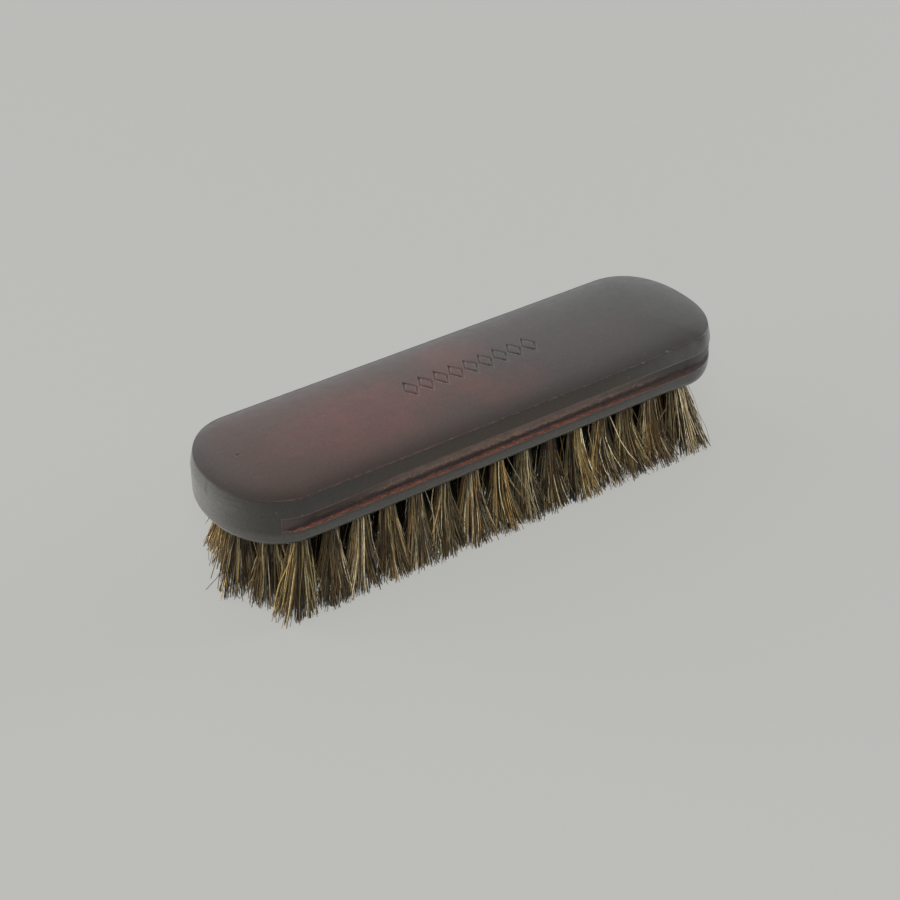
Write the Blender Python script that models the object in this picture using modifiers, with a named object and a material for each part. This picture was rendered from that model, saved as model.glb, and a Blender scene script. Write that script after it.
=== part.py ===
"""A horsehair shoe brush: a one-piece stained wooden block with a finger groove along each side,
and 79 tufts of horsehair set in its underside.

The tufts lie in five staggered rows. The 36 tufts round the outside are pieces of their own, each with
its root in a drilled hole, folded over a flat wire anchor. The 43 tufts inside them are joined row by
row on a slice of the block's own wood, which sits in a pocket of the block.

Units are metres. +Z is up, +X runs along the brush, and -Y is its front. The origin is under the middle
of the brush, on the surface that the bristle tips stand on.
"""

import math
import random

import bmesh
import bpy
from mathutils import Matrix, Vector

# Plan of the block at its arris, the sharp edge round the top
STRAIGHT_LENGTH = 0.141
END_LENGTH = 0.0195
ARRIS_WIDTH = 0.0493
END_SQUARENESS = 2.2

# Height of the block, from the arris down
UPPER_WALL = 0.0046
GROOVE_HEIGHT = 0.0059
LIP_HEIGHT = 0.0019
LOWER_ROUND_RISE = 0.0042
LOWER_ROUND_INSET = 0.0043
WALL_BULGE = 0.0010
CROWN_RISE = 0.0024
CROWN_POWER = 2.6

# Finger groove: how deep it is, how far it runs into each curved end, and how it fades out there
GROOVE_DEPTH = 0.0019
GROOVE_STEP = 0.0003
GROOVE_RUN_OUT = 0.0085
GROOVE_FADE = 0.020
GROOVE_END_WALL = 0.0003

# Drilling pattern: how far inside the arris the outer rows and the middle row's last tufts sit
SIDE_INSET = 0.00725
END_INSET = 0.0094
OUTER_ROW_TUFTS = 15

# Tufts and the holes that they sit in
BRISTLE_LENGTH = 0.0267
TUFT_DIAMETER = 0.0046
HOLE_DEPTH = 0.010
DRILL_POINT = 0.0012
FIT_CLEARANCE = 0.0003

# How a tuft opens out below its sheaf, and how evenly the tips are cut
SHEAF_LENGTH = 0.0045
SHEAF_SWELL = 0.0004
TUFT_GAP = 0.0008
RAGGED_TIPS = 0.0014
TIP_TRIM = 0.0005

# How far the outer tufts' tips lean out: across the brush in the outer rows, and along it in the last
# tuft of the middle row, of the rows beside it, and of the outer rows
SIDE_LEAN = 0.0032
END_LEANS = (0.0030, 0.0040, 0.0050)

# Flat wire anchor that holds each outer tuft's fold
ANCHOR_THICKNESS = 0.0005
ANCHOR_HEIGHT = 0.0018
FOLD_THICKNESS = 0.0010

# Slices of the block's wood that carry the inner rows
SLICE_THICKNESS = 0.0030
WOOD_BETWEEN_SLICES = 0.0021

# How finely round shapes are divided
END_STEPS = 6
GROOVE_END_STEPS = 3
FADE_STEPS = 3
ROUND_STEPS = 5
HOLE_SIDES = 12
SLICE_SIDES = 16
STRANDS = 5
CUT_OVERRUN = 0.002
MERGE_DISTANCE = 0.00001

# The crown's rings, as shares of the way from its spine out to the arris
CROWN_RING_SHARES = (0.0, 0.25, 0.5, 0.72, 0.88)
# The upper wall's rings, as shares of its height
UPPER_WALL_SHARES = (0.0, 0.3, 0.65, 1.0)
# The groove's section: (share of its height, share of its depth), from its upper edge to the lip
GROOVE_SECTION_SHARES = ((0.02, 0.0), (0.25, 0.40), (0.52, 0.78), (0.76, 0.98), (0.90, 1.0), (1.0, 0.0))
# A strand's size and reach at mid length and at the tip, as shares
STRAND_LEVEL_SHARES = (0.5, 1.0)
STRAND_SIZE_SHARES = (0.86, 0.70)
STRAND_SPREAD_SHARES = (0.38, 1.0)
# Every second strand stays nearer to the tuft's middle
REACH_SHARES = (1.0, 0.50)
REACH_SCATTER_SHARE = 0.10

WALL_HEIGHT = UPPER_WALL + GROOVE_HEIGHT + LIP_HEIGHT + LOWER_ROUND_RISE
UNDERSIDE = BRISTLE_LENGTH
ARRIS_LEVEL = UNDERSIDE + WALL_HEIGHT
HALF_STRAIGHT = STRAIGHT_LENGTH / 2
HALF_LENGTH = HALF_STRAIGHT + END_LENGTH
HALF_WIDTH = ARRIS_WIDTH / 2
SPINE_END = HALF_LENGTH - HALF_WIDTH
PITCH = 2 * (HALF_LENGTH - END_INSET) / (OUTER_ROW_TUFTS + 1)
OUTER_ROW = HALF_WIDTH - SIDE_INSET
ROW_SPACING = OUTER_ROW / 2
TUFT_RADIUS = TUFT_DIAMETER / 2
HOLE_RADIUS = TUFT_RADIUS + FIT_CLEARANCE
SHEAF_RADIUS = TUFT_RADIUS + SHEAF_SWELL
TUFT_SPACING = min(PITCH, math.hypot(PITCH / 2, ROW_SPACING))
SLICE_WIDTH = ROW_SPACING - WOOD_BETWEEN_SLICES
SPLIT_LEVEL = UNDERSIDE - SHEAF_LENGTH

WOOD_COLOUR = (0.055, 0.030, 0.024, 1.0)
HAIR_COLOUR = (0.20, 0.13, 0.06, 1.0)


def clear_scene():
    for obj in list(bpy.data.objects):
        bpy.data.objects.remove(obj, do_unlink=True)


def new_collection(name):
    collection = bpy.data.collections.new(name)
    bpy.context.scene.collection.children.link(collection)
    return collection


def principled(name, colour, roughness, metallic):
    material = bpy.data.materials.new(name)
    material.use_nodes = True
    shader = material.node_tree.nodes["Principled BSDF"]
    shader.inputs["Base Color"].default_value = colour
    shader.inputs["Roughness"].default_value = roughness
    shader.inputs["Metallic"].default_value = metallic
    return material


def object_from(bm, name, collection, material=None, origin=(0.0, 0.0, 0.0)):
    """Makes an object of the bmesh, whose points are in world space, with its origin at origin."""
    bmesh.ops.translate(bm, verts=bm.verts, vec=-Vector(origin))
    mesh = bpy.data.meshes.new(name)
    bm.to_mesh(mesh)
    bm.free()
    if material:
        mesh.materials.append(material)
        mesh.shade_smooth()
        mesh.set_sharp_from_angle(angle=math.radians(35))
    obj = bpy.data.objects.new(name, mesh)
    obj.location = origin
    collection.objects.link(obj)
    return obj


def cut(obj, cutter, name):
    modifier = obj.modifiers.new(name, "BOOLEAN")
    modifier.operation = "DIFFERENCE"
    modifier.solver = "EXACT"
    modifier.object = cutter


def end_shares(angle):
    """How far along and across the end its curve is: angle 0 at the tip, 90 degrees at the side."""
    power = 2 / END_SQUARENESS
    return max(math.cos(angle), 0.0) ** power, max(math.sin(angle), 0.0) ** power


def end_curve(angle):
    """A point of the end's rounded plan in the quarter +X +Y."""
    along, across = end_shares(angle)
    return Vector((HALF_STRAIGHT + END_LENGTH * along, HALF_WIDTH * across, 0.0))


def end_normal(angle):
    """The outward normal of the end's curve, from the slope of its implicit formula."""
    along, across = end_shares(angle)
    slope = END_SQUARENESS - 1
    return Vector((along**slope / END_LENGTH, across**slope / HALF_WIDTH, 0.0)).normalized()


def groove_share(x):
    """How much of its full depth the groove has at x: all of it, fading to none at the groove's end."""
    left = (HALF_STRAIGHT + GROOVE_RUN_OUT - abs(x)) / GROOVE_FADE
    left = min(max(left, 0.0), 1.0)
    return left * left * (3 - 2 * left)


def quarter_plan():
    """The arris's plan in the quarter +X +Y, as (point, normal, grooved) from the middle to the tip."""
    side = Vector((0.0, 1.0, 0.0))
    fade_start = HALF_STRAIGHT + GROOVE_RUN_OUT - GROOVE_FADE
    plan = [(Vector((0.0, HALF_WIDTH, 0.0)), side, True)]
    for step in range(FADE_STEPS):
        x = fade_start + (HALF_STRAIGHT - fade_start) * step / FADE_STEPS
        plan.append((Vector((x, HALF_WIDTH, 0.0)), side, True))
    groove_end = math.acos((GROOVE_RUN_OUT / END_LENGTH) ** (END_SQUARENESS / 2))
    for step in range(GROOVE_END_STEPS + 1):
        angle = math.pi / 2 + (groove_end - math.pi / 2) * step / GROOVE_END_STEPS
        plan.append((end_curve(angle), end_normal(angle), True))
    past_groove = groove_end - GROOVE_END_WALL / HALF_WIDTH
    for step in range(END_STEPS + 1):
        angle = past_groove * (1 - step / END_STEPS)
        plan.append((end_curve(angle), end_normal(angle), False))
    return plan


def wall_profile():
    """The wall from the arris down, as (outset, drop, cut by the groove, share of the groove's depth)."""
    profile = []
    for share in UPPER_WALL_SHARES:
        profile.append((WALL_BULGE * (1 - (1 - share) ** 2), UPPER_WALL * share, False, 0.0))
    for height, depth in GROOVE_SECTION_SHARES:
        inside = height < 1.0
        profile.append((WALL_BULGE, UPPER_WALL + GROOVE_HEIGHT * height, inside, depth))
    round_top = UPPER_WALL + GROOVE_HEIGHT + LIP_HEIGHT
    for step in range(ROUND_STEPS + 1):
        angle = math.pi / 2 * step / ROUND_STEPS
        inset = LOWER_ROUND_INSET * (1 - math.cos(angle))
        profile.append((WALL_BULGE - inset, round_top + LOWER_ROUND_RISE * math.sin(angle), False, 0.0))
    return profile


def wall_point(column, outset, drop, in_groove, depth):
    point, normal, grooved = column
    if grooved and in_groove:
        outset -= GROOVE_STEP + (GROOVE_DEPTH - GROOVE_STEP) * depth * groove_share(point.x)
    return point + normal * outset + Vector((0.0, 0.0, ARRIS_LEVEL - drop))


def crown_point(column, share):
    """A point of the crowned top, at a share of the way from the spine out to the arris."""
    point = column[0]
    spine = Vector((min(point.x, SPINE_END), 0.0, 0.0))
    rise = CROWN_RISE * (1 - share**CROWN_POWER)
    return spine.lerp(point, share) + Vector((0.0, 0.0, ARRIS_LEVEL + rise))


def block_quarter():
    """A quarter of the block as a loft of rings, open at the planes that it is mirrored in."""
    bm = bmesh.new()
    plan = quarter_plan()
    rings = [[crown_point(column, share) for column in plan] for share in CROWN_RING_SHARES]
    rings += [[wall_point(column, *level) for column in plan] for level in wall_profile()]
    verts = [[bm.verts.new(point) for point in ring] for ring in rings]
    for upper, lower in zip(verts, verts[1:]):
        for i in range(len(plan) - 1):
            bm.faces.new((upper[i], upper[i + 1], lower[i + 1], lower[i]))
    middle = bm.verts.new((0.0, 0.0, UNDERSIDE))
    bm.faces.new([*verts[-1], middle])
    bmesh.ops.remove_doubles(bm, verts=bm.verts, dist=MERGE_DISTANCE)
    return bm


def wood_block(collection, material):
    block = object_from(block_quarter(), "wood_block", collection, material)
    mirror = block.modifiers.new("other_quarters", "MIRROR")
    mirror.use_axis = (True, True, False)
    mirror.merge_threshold = MERGE_DISTANCE
    return block


def drill(bm, x, y):
    """The space of one blind hole, with the drill's point at its closed end."""
    depth = HOLE_DEPTH + CUT_OVERRUN
    corner = HOLE_RADIUS / math.cos(math.pi / HOLE_SIDES)
    made = bmesh.ops.create_cone(
        bm, cap_ends=True, segments=HOLE_SIDES, radius1=corner, radius2=corner, depth=depth
    )
    bmesh.ops.translate(bm, verts=made["verts"], vec=(x, y, UNDERSIDE - CUT_OVERRUN + depth / 2))
    closed_end = max({face for vert in made["verts"] for face in vert.link_faces}, key=face_height)
    point = bmesh.ops.poke(bm, faces=[closed_end])["verts"][0]
    point.co.z += DRILL_POINT


def face_height(face):
    return face.calc_center_median().z


def stadium_bar(bm, y, length, width, low, high):
    """A bar along X with round ends, made by drawing a cylinder's two halves apart."""
    made = bmesh.ops.create_cone(
        bm, cap_ends=True, segments=SLICE_SIDES, radius1=width / 2, radius2=width / 2, depth=high - low
    )["verts"]
    half_side = math.pi / SLICE_SIDES
    turn = Vector((math.cos(half_side), math.sin(half_side), 0.0))
    for vert in made:
        x = vert.co.x * turn.x - vert.co.y * turn.y
        across = vert.co.x * turn.y + vert.co.y * turn.x
        x += math.copysign((length - width) / 2, x)
        vert.co = (x, y + across, vert.co.z + (low + high) / 2)


def tuft_places():
    """(x, y) of every tuft, row by row from the front to the rear, in five staggered rows."""
    rows = []
    for row in range(-2, 3):
        count = OUTER_ROW_TUFTS + 2 - abs(row)
        rows.append([((i - (count - 1) / 2) * PITCH, row * ROW_SPACING) for i in range(count)])
    return rows


def outward_lean(x, y):
    """How far a tuft's tips lean out from its hole: across by its row, and along towards the row's end."""
    row = round(abs(y) / ROW_SPACING)
    row_end = (OUTER_ROW_TUFTS + 1 - row) / 2 * PITCH
    along = math.copysign(END_LEANS[row] * (x / row_end) ** 2, x)
    return Vector((along, SIDE_LEAN * y / OUTER_ROW, 0.0))


def strand_course(angle, reach, lean, rng):
    """The centres that a strand passes through at mid length and at its tip, from the tuft's axis."""
    middle = Vector((math.cos(angle), math.sin(angle), 0.0))
    start = middle * SHEAF_RADIUS * math.cos(math.pi / STRANDS) * 2 / 3
    tip = middle * reach * (1 - REACH_SCATTER_SHARE * rng.random()) + lean
    tip_level = max(rng.uniform(-TIP_TRIM, RAGGED_TIPS), 0.0)
    course = []
    for level, spread in zip(STRAND_LEVEL_SHARES, STRAND_SPREAD_SHARES):
        centre = start.lerp(tip, spread)
        centre.z = SPLIT_LEVEL + (tip_level - SPLIT_LEVEL) * level
        course.append(centre)
    return course


def draw_strand(bm, face, axis, course):
    """Draws one strand down from a face of the sheaf, through its centres, growing thinner."""
    size = 1.0
    for centre, share in zip(course, STRAND_SIZE_SHARES):
        face = bmesh.ops.extrude_discrete_faces(bm, faces=[face])["faces"][0]
        middle = face.calc_center_median()
        for vert in face.verts:
            vert.co = axis + centre + (vert.co - middle) * (share / size)
        size = share


def tuft(bm, x, y, root_top, turn, lean, rng):
    """One tuft: a root of packed hair, a short sheaf below it, and the strands that part from that."""
    axis = Vector((x, y, 0.0))
    made = bmesh.ops.create_cone(
        bm,
        cap_ends=True,
        cap_tris=True,
        segments=STRANDS,
        radius1=SHEAF_RADIUS,
        radius2=TUFT_RADIUS,
        depth=SHEAF_LENGTH,
        matrix=Matrix.Rotation(turn, 4, "Z"),
    )["verts"]
    bmesh.ops.translate(bm, verts=made, vec=(x, y, SPLIT_LEVEL + SHEAF_LENGTH / 2))
    faces = {face for vert in made for face in vert.link_faces}
    upper = [face for face in faces if face_height(face) > UNDERSIDE - MERGE_DISTANCE]
    lower = [face for face in faces if face_height(face) < SPLIT_LEVEL + MERGE_DISTANCE]
    root = bmesh.ops.extrude_face_region(bm, geom=upper)["geom"]
    bmesh.ops.delete(bm, geom=upper, context="FACES_KEEP_BOUNDARY")
    root_verts = [part for part in root if isinstance(part, bmesh.types.BMVert)]
    bmesh.ops.translate(bm, verts=root_verts, vec=(0.0, 0.0, root_top - UNDERSIDE))
    full_reach = (TUFT_SPACING - TUFT_GAP) / 2 - SHEAF_RADIUS * STRAND_SIZE_SHARES[-1] * 2 / 3
    angles = {face: face_angle(face, axis) for face in lower}
    for i, face in enumerate(sorted(lower, key=angles.get)):
        reach = full_reach * REACH_SHARES[i % len(REACH_SHARES)]
        draw_strand(bm, face, axis, strand_course(angles[face], reach, lean, rng))


def face_angle(face, axis):
    """The direction of a face's middle, seen from the tuft's axis."""
    offset = face.calc_center_median() - axis
    return math.atan2(offset.y, offset.x)


def anchor(name, x, y, root_top, turn, collection):
    """The flat wire under the tuft's fold, as a tool that is joined to its root."""
    length = 2 * math.sqrt(TUFT_RADIUS**2 - ANCHOR_THICKNESS**2 / 4)
    bm = bmesh.new()
    bmesh.ops.create_cube(bm, size=1.0)
    bmesh.ops.scale(bm, verts=bm.verts, vec=(length, ANCHOR_THICKNESS, ANCHOR_HEIGHT))
    off_corners = Matrix.Rotation(turn + math.pi / STRANDS / 2, 3, "Z")
    bmesh.ops.rotate(bm, verts=bm.verts, cent=(0.0, 0.0, 0.0), matrix=off_corners)
    place = (x, y, root_top - FOLD_THICKNESS - ANCHOR_HEIGHT / 2)
    bmesh.ops.translate(bm, verts=bm.verts, vec=place)
    return object_from(bm, name, collection)


def join(obj, other, name):
    modifier = obj.modifiers.new(name, "BOOLEAN")
    modifier.operation = "UNION"
    modifier.solver = "EXACT"
    modifier.object = other


def outer_tuft(name, x, y, parts, tools, material, rng):
    """A tuft by itself, whose root fills its hole but for the clearance."""
    root_top = UNDERSIDE + HOLE_DEPTH - FIT_CLEARANCE
    turn = rng.uniform(0.0, 2 * math.pi)
    bm = bmesh.new()
    tuft(bm, x, y, root_top, turn, outward_lean(x, y), rng)
    obj = object_from(bm, name, parts, material, origin=(x, y, UNDERSIDE))
    join(obj, anchor(name + "_anchor", x, y, root_top, turn, tools), "wire_anchor")


def inner_row(name, places, parts, tools, material, rng):
    """One inner row: its tufts joined to a slice of the block's wood. Returns the slice's pocket."""
    y = places[0][1]
    length = places[-1][0] - places[0][0] + SLICE_WIDTH
    low, high = UNDERSIDE, UNDERSIDE + SLICE_THICKNESS
    bm = bmesh.new()
    stadium_bar(bm, y, length, SLICE_WIDTH, low, high)
    obj = object_from(bm, name, parts, material)
    bm = bmesh.new()
    for x, y in places:
        tuft(bm, x, y, low + SLICE_THICKNESS / 2, rng.uniform(0.0, 2 * math.pi), Vector(), rng)
    join(obj, object_from(bm, name + "_strands", tools), "tufts")
    bm = bmesh.new()
    grown = 2 * FIT_CLEARANCE
    stadium_bar(bm, y, length + grown, SLICE_WIDTH + grown, low - CUT_OVERRUN, high + FIT_CLEARANCE)
    return object_from(bm, name + "_pocket", tools)


def hide_tools(tools):
    for tool in tools.objects:
        tool.hide_render = True
        tool.display_type = "WIRE"


def main():
    clear_scene()
    parts = new_collection("horsehair_brush")
    tools = new_collection("cutters")
    wood = principled("stained_wood", WOOD_COLOUR, 0.45, 0.0)
    hair = principled("horsehair", HAIR_COLOUR, 0.6, 0.0)
    rng = random.Random(11)

    front, front_inner, middle_inner, rear_inner, rear = tuft_places()
    inner = {"front": front_inner, "middle": middle_inner, "rear": rear_inner}
    outer = {f"front_tuft_{i + 1:02d}": place for i, place in enumerate(front)}
    outer |= {f"rear_tuft_{i + 1:02d}": place for i, place in enumerate(rear)}
    outer |= {f"left_end_tuft_{side}": row[0] for side, row in inner.items()}
    outer |= {f"right_end_tuft_{side}": row[-1] for side, row in inner.items()}

    block = wood_block(parts, wood)
    drills = bmesh.new()
    for name, (x, y) in outer.items():
        outer_tuft(name, x, y, parts, tools, hair, rng)
        drill(drills, x, y)
    cut(block, object_from(drills, "hole_drills", tools), "tuft_holes")
    for side, row in inner.items():
        pocket = inner_row(f"{side}_inner_tufts", row[1:-1], parts, tools, hair, rng)
        cut(block, pocket, f"{side}_pocket")
    hide_tools(tools)


main()
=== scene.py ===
"""The looks of a horsehair shoe brush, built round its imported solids.

The block is made again with fine faces: its crowned top with a worn arris and a pressed row of
lozenges, its finger grooves with a torn ledge, and its 79 drilled holes. Each tuft is made again hair
by hair.

Units are metres, in the frame of the solids: +Z is up, +X runs along the brush and -Y is its front.
Places in the materials are in millimetres. Colours are linear.
"""

import math
from types import SimpleNamespace

import bmesh
import bpy
import numpy as np
from mathutils import Matrix, Vector, noise


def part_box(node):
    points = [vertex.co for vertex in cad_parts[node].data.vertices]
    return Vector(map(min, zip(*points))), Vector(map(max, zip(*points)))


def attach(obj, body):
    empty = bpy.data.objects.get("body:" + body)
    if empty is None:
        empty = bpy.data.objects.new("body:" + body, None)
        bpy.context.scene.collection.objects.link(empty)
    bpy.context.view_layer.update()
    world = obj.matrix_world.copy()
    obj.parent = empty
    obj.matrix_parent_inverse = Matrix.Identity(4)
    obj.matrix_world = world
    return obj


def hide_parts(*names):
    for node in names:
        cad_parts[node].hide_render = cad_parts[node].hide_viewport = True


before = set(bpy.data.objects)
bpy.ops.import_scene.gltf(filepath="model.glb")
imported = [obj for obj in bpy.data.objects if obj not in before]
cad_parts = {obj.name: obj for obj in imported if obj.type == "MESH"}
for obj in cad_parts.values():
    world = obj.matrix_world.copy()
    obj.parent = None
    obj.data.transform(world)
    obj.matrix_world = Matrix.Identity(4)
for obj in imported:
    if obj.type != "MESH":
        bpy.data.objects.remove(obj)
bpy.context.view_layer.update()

MM = 0.001

# Sizes of the block that its solid's box doesn't give
WALL_BULGE = 1.0 * MM
END_LENGTH = 19.5 * MM
# Exponents of the ends' plan, for the front and the rear half
LEFT_SQUARENESS = (2.08, 2.08)
RIGHT_SQUARENESS = (2.15, 2.36)
# How far the arris is drawn in near the front right corner, and where in mm along x that starts and stops
ARRIS_TUCK = 1.0 * MM
TUCK_START = (48, 70)
TUCK_STOP = (79.5, 73.5)
# How far each groove's upper edge dips, and between which places along the groove in mm
GROOVE_DIP = 1.2 * MM
DIP_RANGE = (35, 65)
UPPER_WALL = 4.6 * MM
GROOVE_HEIGHT = 5.9 * MM
LIP_HEIGHT = 1.9 * MM
LOWER_ROUND_RISE = 4.2 * MM
LOWER_ROUND_INSET = 4.3 * MM
# How much less the lower edge is rounded at the front right corner, and where in mm along x and -y
SQUARE_CORNER = 0.45
CORNER_ALONG = (62, 78)
CORNER_ACROSS = (2, 12)
GROOVE_DEPTH = 1.9 * MM
GROOVE_STEP = 0.3 * MM
GROOVE_RUN_OUTS = (8.5 * MM, 14.6 * MM)
GROOVE_FADES = (9 * MM, 15 * MM)
GROOVE_END_WALL = 0.3 * MM
LEDGE_SHARE = 0.89
# Exponents of the upper wall's bulge and of the groove's hollow
BULGE_POWER = 1.2
HOLLOW_POWER = 0.95
ARRIS_ROUND = 0.18 * MM
# The crown's section as a sum of curves: the share and the exponent of each
CROWN_CURVES = ((0.70, 2.3), (0.30, 9))

BLOCK_LOW, BLOCK_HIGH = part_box("wood_block")
UNDERSIDE = BLOCK_LOW[2]
ARRIS_LEVEL = UNDERSIDE + UPPER_WALL + GROOVE_HEIGHT + LIP_HEIGHT + LOWER_ROUND_RISE
CROWN_RISE = BLOCK_HIGH[2] - ARRIS_LEVEL
HALF_LENGTH = BLOCK_HIGH[0] - WALL_BULGE
HALF_WIDTH = BLOCK_HIGH[1] - WALL_BULGE
HALF_STRAIGHT = HALF_LENGTH - END_LENGTH
SPINE_END = HALF_LENGTH - HALF_WIDTH
CROWN_END = 1 - ARRIS_ROUND / HALF_WIDTH

# The pressed row of lozenges in the crown, and the small pit
STAMP_CENTRE = (4.5 * MM, 1.8 * MM)
STAMP_MOTIFS = 9
STAMP_PITCH = 5.6 * MM
STAMP_HALF_WIDTH = 2.2 * MM
STAMP_HALF_HEIGHT = 3.9 * MM
STAMP_STROKES = (0.20 * MM, 0.46 * MM)
STAMP_DEPTH = 0.36 * MM
STAMP_LIFT = 0.12 * MM
PIT_PLACE = (-78.6 * MM, 2.0 * MM)
PIT_RADII = (0.30 * MM, 0.85 * MM)
PIT_DEPTH = 0.22 * MM

# Masks of the block's surface, its columns, and the bands near the arris as shares of the crown
MASKS = ("wear", "groove", "ledge", "rim", "dirt")
SIDE_COLUMNS = 352
END_COLUMNS = 66
SHARP_ANGLE = 62
# The rim band and the crown's thin edge band hold painted shade
RIM_SHADE_BAND = 0.40
CROWN_SHADE_BAND = 0.05
WORN_BAND = 0.35 * MM / HALF_WIDTH
# Hands wear the arris where its normal looks to the side, between these shares of the normal's length
SIDEWAYS = (0.80, 0.99)
LEAST_WEAR = 0.12
CROWN_WEAR = 0.25
# Painted shade in a thin band along the crown's edge at the sides, and grime on the arris at the ends
CROWN_SHADE = 0.55
ARRIS_GRIME = 0.7
# Through the wear mask the groove's upper edge gets a painted highlight; where the groove stops it gets wear
GROOVE_EDGE_HIGHLIGHT = 0.7
GROOVE_WEAR_AND_HIGHLIGHT = 0.75
# Where down the groove its face turns torn, and how deep, as a share, the groove must be for that
TORN_RANGE = (0.74, 0.86)
TORN_DEPTH = 0.2
# Relief of the torn fibres, coarse and fine, their drop and the arris's chips: size and height of each
COARSE_FIBRES = (0.8 * MM, 0.16 * MM)
FINE_FIBRES = (0.3 * MM, 0.08 * MM)
FIBRE_DROP = (1.3 * MM, 0.16 * MM)
CHIPS = (2.2 * MM, 0.30 * MM)
CHIP_LEVEL = 0.25
FIBRE_STRETCH = np.array([0.35, 1.0, 1.0])

# Drilling pattern
SIDE_INSET = 7.25 * MM
END_INSET = 9.4 * MM
OUTER_ROW_TUFTS = 15
HOLE_RADIUS = 2.6 * MM
HOLE_DEPTH = 10 * MM
DRILL_START = 1.0 * MM
HOLE_SIDES = 28
PITCH = 2 * (HALF_LENGTH - END_INSET) / (OUTER_ROW_TUFTS + 1)
ROW_SPACING = (HALF_WIDTH - SIDE_INSET) / 2

# Hair
OUTER_HAIRS = 380
INNER_HAIRS = 230
HAIR_RADIUS = 0.118 * MM
HAIR_RINGS = 6
HAIR_SIDES = 3
ROOT_RADIUS = 1.4 * MM
ROOT_RISE = 3.0 * MM
TIP_RADII = (6.6 * MM, 5.2 * MM)
TIP_SQUARENESS = 0.6
WIDE_SHARE = 0.10
WIDE_REACH = (1.1, 1.4)
# Locks: how they are spread over a tuft, and how their hairs are pulled together
LOCKS_PER_TUFT = 16
LOCK_REACH = 0.93
LOCK_SCATTER = 0.07
LOCK_PULL = 0.48
LOCK_PULL_RANGE = (0.3, 1.3)
LOCK_DRIFT = 0.45 * MM
# How far the tips lean outward at the sides, and at the ends of the middle, inner and outer rows
SIDE_LEAN = 3.6 * MM
INNER_SIDE_SHARE = 0.35
LEFT_END_LEANS = (1.6 * MM, 2.6 * MM, 4.2 * MM)
RIGHT_END_LEANS = (3.4 * MM, 4.4 * MM, 4.9 * MM)
ROW_DRIFT = 0.5 * MM
ROOT_DRIFT = 0.6 * MM
TUFT_LEAN = 0.45 * MM
TIP_SCATTER = 0.65 * MM
# How late a hair parts from its tuft, as an exponent
SIDE_BENDS = (1.8, 2.7)
END_BENDS = (0.85, 1.35)
INNER_BENDS = (1.05, 1.6)
RAGGED_TIPS = 0.25 * MM
LOCK_RAGGED = 0.18 * MM
SHORT_HAIR_SHARE = 0.10
SHORT_HAIR_LOSS = 8 * MM
STRAY_SHARE = 0.04
STRAY_REACH = 3.6 * MM
TIP_LIMIT = (91.4 * MM, 26.75 * MM)
WAVE = 0.42 * MM
SECOND_WAVE = 0.6
STRAY_WAVE = 3.0
# Thickness: mean and spread of its logarithm, its limits, how much thicker a hair as pale as the pale
# tone is, and the taper from root to tip
THICKNESS_SPREAD = (-0.05, 0.28)
THICKNESS_LIMITS = (0.6, 1.8)
PALE_GAIN = 0.60
PALE_TONE = 0.4
TAPER = (1.05, 0.80)
HAIR_SEED = 500
MAP_MARGIN = 0.08

# Tones of hair, with their shares
HAIR_TONES = (
    ((0.430, 0.294, 0.112), 0.22),
    ((0.240, 0.140, 0.045), 0.22),
    ((0.080, 0.053, 0.024), 0.14),
    ((0.155, 0.138, 0.078), 0.12),
    ((0.012, 0.009, 0.006), 0.22),
    ((0.820, 0.680, 0.395), 0.12),
)
LOCK_TONE_SHARE = 0.42
LOCK_TONE_SPREAD = 0.34
OWN_SHADES = (0.44, 1.12)
TUFT_TONE_SPREAD = 0.10
TUFT_HUE_SPREAD = 0.05
# Deep shade among the roots of outer and inner tufts: its tone, how far down a hair it reaches and how
# slowly it lifts
OUTER_ROOTS = (0.65, 0.20, 2.4)
INNER_ROOTS = (0.02, 0.95, 4.0)
INNER_SHADE = 0.48
INSIDE_SHADE = 0.45
# Shade of the tufts along the brush, at these x in mm
SHADE_ALONG = ((-70, -20, 20, 45, 70), (0.83, 0.82, 1.00, 0.97, 0.87))
# Painted light that brightens the hairs towards their tips, and where it starts down the hair
TIP_LIGHT = 0.18
TIP_LIGHT_START = 0.6

# Colours of the stained wood
TOP_LEFT = (0.066, 0.0410, 0.0335)
TOP_RIGHT = (0.047, 0.0445, 0.0415)
TOP_LEFT_END = (0.062, 0.050, 0.0445)
TOP_RUBBED = (0.112, 0.046, 0.039)
# Painted shade that darkens the top round its rim
TOP_RIM_SHADE = (0.018, 0.013, 0.011)
WALL_MIDDLE = (0.033, 0.0235, 0.017)
WALL_AWAY = (0.028, 0.025, 0.0215)
WALL_RIGHT_SHEEN = (0.054, 0.053, 0.049)
WALL_MOTTLE = (0.018, 0.013, 0.010)
WALL_FOOT_SHEEN = (0.050, 0.050, 0.045)
DARK_GRAIN = (0.022, 0.016, 0.014)
# Painted sheen on the walls of the ends
LEFT_END_SHEEN = (0.094, 0.090, 0.082)
RIGHT_END_SHEEN = (0.110, 0.112, 0.106)
END_LINES = (0.140, 0.132, 0.120)
# Painted shade under the arris
UNDER_ARRIS_SHADE = (0.010, 0.009, 0.008)
# Grime on the arris at the ends, and painted shade along the crown's edge, in the groove's foot and in the
# ledge's inner corner
GRIME_AND_SHADE = (0.012, 0.006, 0.005)
DUST = (0.26, 0.25, 0.22)

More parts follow.
